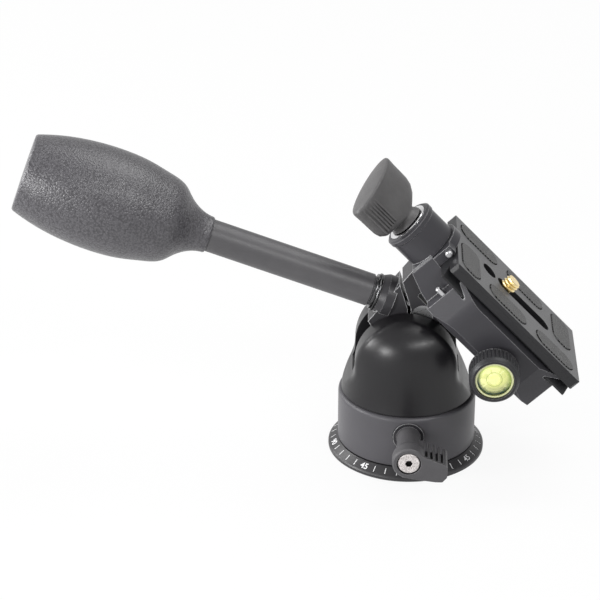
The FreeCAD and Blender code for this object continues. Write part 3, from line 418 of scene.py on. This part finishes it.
# Pan lock
# A moulded lever on a threaded spindle, held by a bright cap screw whose socket is painted near
# black below its face as painted shade. A turned ring goes round its root, and a bronze shoe
# brakes the foot's hub.
lever_grey = Finish("lever_grey")
grit = lever_grey.noise(2400, 3)
moulded = lever_grey.blend(lever_grey.noise(300), (0.062, 0.060, 0.064), (0.080, 0.078, 0.082))
lever_edge = lever_grey.worn(0.0005, 0.02, 0.3)
lever_grey.set(
    Base_Color=lever_grey.blend(lever_edge, moulded, (0.19, 0.185, 0.19)),
    Roughness=lever_grey.ramp(grit, 0.42, 0.56),
    Specular_IOR_Level=0.35,
    Normal=lever_grey.bumps(grit, 0.00004),
)
paint(lever_grey, "pan_lock_lever")
collar_black = Finish("collar_black")
turned = collar_black.noise(1400, 2)
collar_edge = collar_black.worn(0.0005, 0.02, 0.3)
collar_black.set(
    Base_Color=collar_black.blend(collar_edge, (0.020, 0.019, 0.022), (0.55, 0.55, 0.56)),
    Roughness=collar_black.ramp(turned, 0.26, 0.36),
    Specular_IOR_Level=0.35,
    Normal=collar_black.bumps(turned, 0.00001, 0.0002),
)
paint(collar_black, "pan_lock_collar")
cap_steel = Finish("cap_steel")
blast = cap_steel.noise(2600, 3)
blasted_face = cap_steel.blend(
    cap_steel.step(blast, 0.35, 0.65), (0.40, 0.37, 0.36), (0.80, 0.76, 0.75),
)
face_y = -0.0462
socket_y = -0.0458
# Painted shade: the socket of the cap screw is painted near black from just below its face.
socket_shade = cap_steel.step(cap_steel.part_of_place("Y"), face_y, socket_y)
cap_steel.set(
    Base_Color=cap_steel.blend(socket_shade, blasted_face, (0.012, 0.011, 0.011)),
    Metallic=0.7,
    Roughness=cap_steel.ramp(blast, 0.38, 0.6),
    Normal=cap_steel.bumps(blast, 0.00005, 0.0002),
)
paint(cap_steel, "pan_lock_screw")
bronze = Finish("shoe_bronze")
bronze.set(
    Base_Color=bronze.blend(bronze.noise(300), (0.55, 0.35, 0.16), (0.68, 0.45, 0.22)),
    Metallic=1.0,
    Roughness=bronze.ramp(bronze.noise(900), 0.3, 0.42),
)
paint(bronze, "pan_brake_shoe")

# Fork
# The bell-shaped casting that carries the tilt axle, painted in a smooth semi-gloss black, as is
# the plug in its far ear.
fork_black = Finish("fork_black")
orange_peel = fork_black.noise(700, 2)
fork_tint = fork_black.noise(45, 2)
fork_black.set(
    Base_Color=fork_black.blend(fork_tint, (0.006, 0.0055, 0.0065), (0.009, 0.0085, 0.010)),
    Roughness=fork_black.ramp(orange_peel, 0.31, 0.36),
    Specular_IOR_Level=0.38,
    Normal=fork_black.bumps(orange_peel, 0.000012, 0.0004),
)
paint(fork_black, "tilt_fork", "axle_plug")

# Tilt block
# A machined block, blackened and worn bright along its edges. The plug in the handle's tube has
# the same finish.
block_black = Finish("block_black")
block_grain = block_black.noise(1500, 3)
scuff = block_black.noise(420, 4)
block_edge = block_black.worn(0.00045, 0.01, 0.14) * block_black.step(scuff, 0.30, 0.52)
block_black.set(
    Base_Color=block_black.blend(block_edge, (0.030, 0.029, 0.032), (0.74, 0.74, 0.75)),
    Roughness=block_black.ramp(block_grain, 0.30, 0.46),
    Specular_IOR_Level=0.3,
    Normal=block_black.bumps(block_grain, 0.00003),
)
paint(block_black, "tilt_block", "handle_plug")

# Handle
# A satin black tube with two dark turned rings at its root, and a pebbled rubber grip with a
# flat cap in its end. The pebbles are painted lighter on their crowns and darker between them,
# as painted light and shade.
dark_steel = Finish("dark_steel")
steel_edge = dark_steel.worn(0.0004)
dark_steel.set(
    Base_Color=dark_steel.blend(steel_edge, (0.05, 0.05, 0.052), (0.30, 0.30, 0.30)),
    Metallic=1.0,
    Roughness=dark_steel.ramp(dark_steel.noise(900), 0.25, 0.35),
)
paint(dark_steel, "handle_washer", "handle_ring")
tube_black = Finish("tube_black")
tube_grain = tube_black.noise(2200, 3)
tube_tint = tube_black.noise(200)
tube_black.set(
    Base_Color=tube_black.blend(tube_tint, (0.066, 0.064, 0.068), (0.084, 0.082, 0.086)),
    Roughness=tube_black.ramp(tube_grain, 0.34, 0.48),
    Specular_IOR_Level=0.4,
    Normal=tube_black.bumps(tube_grain, 0.00004),
)
paint(tube_black, "handle_tube")
grip_rubber = Finish("grip_rubber")
pebble = grip_rubber.cells(1450)
creases = grip_rubber.noise(1900, 2)
# Painted light and shade: pebble crowns are lighter and the creases between them darker.
pebble_light_and_shade = grip_rubber.step(pebble - creases * 0.4, 0.42, 0.02)
grip_rubber.set(
    Base_Color=grip_rubber.blend(pebble_light_and_shade, (0.044, 0.042, 0.047), (0.092, 0.089, 0.097)),
    Roughness=grip_rubber.ramp(creases, 0.26, 0.40),
    Specular_IOR_Level=0.55,
    Normal=grip_rubber.bumps(creases * 0.5 - pebble, 0.00020, 0.0006),
)
paint(grip_rubber, "handle_grip", "grip_cap")

# Side-tilt spindle and washer
# The dark spindle that the clamp turns on, and the polished washer that the knob presses.
paint(dark_steel, "side_tilt_spindle")
bright_washer = Finish("bright_washer")
washer_tint = bright_washer.noise(500)
bright_washer.set(
    Base_Color=bright_washer.blend(washer_tint, (0.80, 0.80, 0.81), (0.90, 0.90, 0.91)),
    Metallic=1.0,
    Roughness=bright_washer.ramp(bright_washer.noise(700), 0.12, 0.22),
)
paint(bright_washer, "side_tilt_washer")

# Side-tilt knob
# A moulded wing: an oval blade on a round neck, domed at its end and hollowed a little on its
# two broad faces, with fine ribs at the two tips. Sizes are in millimetres.
knob_grey = Finish("knob_grey")
knob_grain = knob_grey.noise(2600, 3)
knob_mottle = knob_grey.noise(240, 3)
knob_grey.set(
    Base_Color=knob_grey.blend(knob_mottle, (0.058, 0.056, 0.057), (0.096, 0.094, 0.095)),
    Roughness=knob_grey.ramp(knob_grain, 0.36, 0.52),
    Specular_IOR_Level=0.35,
    Normal=knob_grey.bumps(knob_grain, 0.00004, 0.0004),
)
tilt_axis_m = 0.0405
side_axis_m = 0.0368
head_tilt = math.radians(46.2)
tilted = Matrix.Translation((0, 0, tilt_axis_m)) @ Matrix.Rotation(head_tilt, 4, "Y")
along_knob = Matrix.Rotation(math.radians(-90), 4, "Y")
side_axis = tilted @ Matrix.Translation((0, 0, side_axis_m)) @ along_knob
wing = bmesh.new()
below = None
for height, long_half, thick_half in (
    (41.05, 6.75, 6.75),
    (42.2, 6.15, 6.15),
    (43.1, 5.45, 5.3),
    (43.7, 6.4, 5.1),
    (44.3, 9.4, 5.1),
    (45.4, 12.7, 5.2),
    (47.4, 15.1, 5.3),
    (49.8, 16.0, 5.3),
    (53.0, 16.2, 5.15),
    (57.0, 16.2, 5.4),
    (59.5, 16.2, 6.0),
    (60.3, 16.1, 6.15),
    (60.75, 15.8, 5.95),
    (61.0, 14.6, 5.1),
    (61.3, 10.5, 3.3),
    (61.45, 5.0, 1.5),
):
    ring = bmesh.ops.create_circle(wing, radius=1, segments=72)["verts"]
    bmesh.ops.scale(wing, verts=ring, vec=(long_half * MM, thick_half * MM, 1))
    bmesh.ops.translate(wing, verts=ring, vec=(0, 0, height * MM))
    rim = list({edge for corner in ring for edge in corner.link_edges})
    if below:
        bmesh.ops.bridge_loops(wing, edges=below + rim)
    below = rim
bmesh.ops.contextual_create(wing, geom=below)
ribs_at_tip = 6
first_rib = 8.6
rib_pitch = 1.2
rib_r = 0.42
rib_length = 12.6
rib_middle = 53.3
blade_half = 16.2
blade_thick_half = 5.42
for end in (0, 180):
    for step in range(ribs_at_tip):
        along = first_rib + rib_pitch * step
        deep = blade_thick_half * math.sqrt(1 - (along / blade_half) ** 2)
        rib = bmesh.ops.create_cone(
            wing, cap_ends=True, segments=12,
            radius1=rib_r * MM, radius2=rib_r * MM, depth=rib_length * MM,
        )["verts"]
        bmesh.ops.translate(wing, verts=rib, vec=(-along * MM, -deep * MM, rib_middle * MM))
        bmesh.ops.rotate(wing, verts=rib, matrix=Matrix.Rotation(math.radians(end), 3, "Z"))
wing_turn = math.radians(64)
wing_place = side_axis @ Matrix.Rotation(wing_turn, 4, "Z")
bmesh.ops.transform(wing, verts=wing.verts[:], matrix=wing_place)
bmesh.ops.recalc_face_normals(wing, faces=wing.faces[:])
smooth(piece("side_tilt_wing", wing, knob_grey, "wing_knob", ("side_tilt_knob",)), 50)

# Clamp
# The cast clamp and its sliding jaw, machined on the bed and painted semi-gloss black, with the
# pressed strip that stops the plate at the end of the bed.
clamp_black = Finish("clamp_black")
clamp_grain = clamp_black.noise(1800, 2)
clamp_edge = clamp_black.worn(0.0005, 0.02, 0.3)
clamp_black.set(
    Base_Color=clamp_black.blend(clamp_edge, (0.040, 0.039, 0.044), (0.44, 0.44, 0.45)),
    Roughness=clamp_black.ramp(clamp_grain, 0.28, 0.38),
    Specular_IOR_Level=0.28,
    Normal=clamp_black.bumps(clamp_grain, 0.00002, 0.0005),
)
paint(clamp_black, "clamp_body", "clamp_jaw", "catch_bracket")

# Clamp knob
# A knurled black knob with a bubble level let into its face.
knob_black = Finish("knob_black")
knob_fine = knob_black.noise(2400, 2)
knob_edge = knob_black.worn(0.0003, 0.03, 0.4)
knob_black.set(
    Base_Color=knob_black.blend(knob_edge, (0.020, 0.020, 0.022), (0.26, 0.26, 0.265)),
    Roughness=knob_black.ramp(knob_fine, 0.36, 0.46),
    Specular_IOR_Level=0.3,
    Normal=knob_black.bumps(knob_fine, 0.00002, 0.00015),
)
paint(knob_black, "clamp_knob")

# Level
# A cup of yellow-green fluid under a clear lens, with a ring printed round its bubble. The fluid
# is painted darker towards its rim and near black towards the foot of the rim, as painted shade,
# and it glows with its own colour as painted light. Sizes are in metres.
level_rim = Finish("level_rim")
level_rim.set(
    Base_Color=level_rim.blend(level_rim.noise(300), (0.62, 0.64, 0.34), (0.74, 0.76, 0.44)),
    Roughness=level_rim.ramp(level_rim.noise(1500), 0.18, 0.3),
)
paint(level_rim, "level_cup")
level_green = Finish("level_green")
level_x = 0.0316
level_z = 0.04655
rim_start = 0.0047
rim_full = 0.0060
foot_lean = 0.35
foot_start = 0.0012
foot_full = -0.0034
ring_r = 0.0029
ring_outside = 0.00022
ring_inside = 0.00009
ring_strength = 0.6
sideways = level_green.part_of_place("X") - level_x
upright = level_green.part_of_place("Z") - level_z
distance = (sideways * sideways + upright * upright) ** 0.5
# Painted shade: a band towards the rim is darker, and it turns near black towards its foot.
rim_shade_mask = level_green.step(distance, rim_start, rim_full)
foot = level_green.step(upright + sideways * foot_lean, foot_start, foot_full)
ring_line = level_green.step(abs(distance - ring_r), ring_outside, ring_inside)
rim_shade = level_green.blend(foot, (0.42, 0.52, 0.14), (0.008, 0.045, 0.030))
shade = level_green.blend(rim_shade_mask, (0.92, 0.94, 0.52), rim_shade)
shade = level_green.blend(ring_line * ring_strength, shade, (0.25, 0.33, 0.08))
level_green.set(
    Base_Color=shade,
    Roughness=level_green.ramp(level_green.noise(800), 0.12, 0.2),
    # Painted light: the fluid glows with its own colour, though it is no lamp.
    Emission_Color=shade,
    Emission_Strength=0.45,
)
paint(level_green, "level_fluid", "level_bubble")
level_clear = Finish("level_clear", "ShaderNodeMixShader")
smear = level_clear.ramp(level_clear.noise(400), 0.04, 0.09)
clear = level_clear.node("BsdfTransparent", None, {"Color": (1.0, 1.0, 0.94)})
gleam = level_clear.node("BsdfGlossy", None, {"Roughness": smear})
grazing = level_clear.node("Fresnel", None, {"IOR": 1.45})
level_clear.feed(level_clear.shader.inputs[0], grazing)
level_clear.feed(level_clear.shader.inputs[1], clear)
level_clear.feed(level_clear.shader.inputs[2], gleam)
paint(level_clear, "level_lens")

# Quick-release plate
# An aluminium slab with a dovetail foot, anodised black. Its top is painted a lighter grey as
# painted light from above, which stops where the surface turns away from the top.
plate_black = Finish("plate_black")
plate_up = (0.7218, 0, 0.6921)
turned_away = 0.80
facing_up = 0.96
plate_grain = plate_black.noise(3000, 3, 0.6)
normal = plate_black.node("TexCoord", out=1)
facing = plate_black.node(
    "VectorMath", {"operation": "DOT_PRODUCT"}, {0: normal, 1: plate_up}, out=1,
)
# Painted light: faces that look up are painted a lighter grey than the black sides.
top_light_mask = plate_black.step(facing, turned_away, facing_up)
painted_lit_top = plate_black.blend(plate_grain, (0.045, 0.045, 0.047), (0.150, 0.150, 0.153))
anodised = plate_black.blend(plate_grain, (0.008, 0.008, 0.009), (0.020, 0.020, 0.022))
plate_black.set(
    Base_Color=plate_black.blend(top_light_mask, anodised, painted_lit_top),
    Roughness=plate_black.ramp(plate_grain, 0.34, 0.50),
    Specular_IOR_Level=0.35,
    Normal=plate_black.bumps(plate_grain, 0.00006),
)
paint(plate_black, "camera_plate")

# Rubber pads
# Six pads let into the plate's top, with fine slanting ribs across them. The ribs' crests are
# painted grey and their hollows near black, as painted light and shade.
pad_rubber = Finish("pad_rubber")
slant_along = 0.8
slant_across = 0.6
rib_waves = 5600
pad_grain = pad_rubber.noise(1500, 3)
pad_x = pad_rubber.part_of_place("X")
pad_y = pad_rubber.part_of_place("Y")
pad_z = pad_rubber.part_of_place("Z")
lengthwise = pad_x * plate_up[2] - pad_z * plate_up[0]
ridges = ((lengthwise * slant_along + pad_y * slant_across) * rib_waves).sine()
# Painted light and shade: rib crests are painted grey and the hollows between them near black.
rib_light_and_shade = pad_rubber.step(ridges, -0.7, 0.7)
pad_rubber.set(
    Base_Color=pad_rubber.blend(rib_light_and_shade, (0.004, 0.004, 0.004), (0.170, 0.170, 0.170)),
    Roughness=pad_rubber.ramp(pad_grain, 0.5, 0.66),
    Specular_IOR_Level=0.3,
    Normal=pad_rubber.bumps(ridges * 0.6 + pad_grain, 0.00012),
)
paint(pad_rubber, "rubber_pads")

# Camera screw
# A brass screw with a slotted head and a plain neck, whose thread stands out of the channel. The
# thread is a profile of one turn carried up round the axis. Sizes are in millimetres.
bright_brass = Finish("bright_brass")
tarnish = bright_brass.noise(500, 3)
bright_brass.set(
    Base_Color=bright_brass.blend(tarnish, (0.80, 0.60, 0.26), (0.96, 0.82, 0.46)),
    Metallic=1.0,
    Roughness=bright_brass.ramp(bright_brass.noise(2500), 0.16, 0.32),
)


def half_outline(mesh, corners):
    """Draws the points of a turned shape, given as radius and height, and joins them up."""
    drawn = [mesh.verts.new((radius * MM, 0, height * MM)) for radius, height in corners]
    for first, second in zip(drawn, drawn[1:]):
        mesh.edges.new((first, second))


screw = bmesh.new()
half_outline(screw, (
    (0, 38.4), (7.1, 38.4), (7.5, 38.8), (7.5, 41.2), (7.1, 41.6), (2.5, 41.6), (2.5, 46.0),
    (0, 46.0),
))
bmesh.ops.spin(
    screw, geom=screw.verts[:] + screw.edges[:], axis=(0, 0, 1), angle=math.tau, steps=64,
    use_merge=True,
)
bmesh.ops.remove_doubles(screw, verts=screw.verts[:], dist=0.00001)
slot_half = 0.8
slot_deep = 1.4
above_underside = 38.5
for slot_side in (-slot_half, slot_half):
    everything = screw.verts[:] + screw.edges[:] + screw.faces[:]
    bmesh.ops.bisect_plane(
        screw, geom=everything, plane_co=(0, slot_side * MM, 0), plane_no=(0, 1, 0),
    )
slot_floor = [
    face for face in screw.faces
    if face.calc_center_median().z < above_underside * MM
    and abs(face.calc_center_median().y) < slot_half * MM
]
sunk = bmesh.ops.extrude_face_region(screw, geom=slot_floor)["geom"]
bmesh.ops.delete(screw, geom=slot_floor, context="FACES")
sunk_corners = [item for item in sunk if isinstance(item, bmesh.types.BMVert)]
bmesh.ops.translate(screw, verts=sunk_corners, vec=(0, 0, slot_deep * MM))
pitch = 1.27
turns = 5
steps_in_turn = 36
root_r = 2.62
crest_r = 3.16
thread_start = 45.2
thread_low = 46.2
thread_high = 50.0
taper_start = 49.3
taper = 0.9
core_r = 2.66
core_high = 50.02
thread = bmesh.new()
half_outline(thread, [(radius, thread_start + height) for radius, height in (
    (root_r, 0), (crest_r, 0.48), (crest_r, 0.66), (root_r, 1.14), (root_r, pitch),
)])
bmesh.ops.spin(
    thread, geom=thread.verts[:] + thread.edges[:], axis=(0, 0, 1),
    dvec=(0, 0, pitch * MM / steps_in_turn), angle=math.tau * turns, steps=steps_in_turn * turns,
)
for level, clear_above in ((thread_low, False), (thread_high, True)):
    everything = thread.verts[:] + thread.edges[:] + thread.faces[:]
    bmesh.ops.bisect_plane(
        thread, geom=everything, plane_co=(0, 0, level * MM), plane_no=(0, 0, 1),
        clear_outer=clear_above, clear_inner=not clear_above,
    )
for corner in thread.verts:
    allowed = (crest_r - max(0, corner.co.z / MM - taper_start) * taper) * MM
    reach = Vector((corner.co.x, corner.co.y)).length
    if reach > allowed:
        corner.co.x *= allowed / reach
        corner.co.y *= allowed / reach
for height in (core_high, thread_low):
    bmesh.ops.create_circle(
        thread, cap_ends=True, segments=36, radius=core_r * MM,
        matrix=Matrix.Translation((0, 0, height * MM)),
    )
screw_along_m = 0.005
screw_place = tilted @ Matrix.Translation((screw_along_m, 0, 0))
for mesh, name, hidden in (
    (screw, "camera_screw_shank", ("camera_screw",)),
    (thread, "camera_screw_thread", ()),
):
    bmesh.ops.transform(mesh, verts=mesh.verts[:], matrix=screw_place)
    bmesh.ops.recalc_face_normals(mesh, faces=mesh.faces[:])
    smooth(piece(name, mesh, bright_brass, "camera_screw_group", hidden), 30)
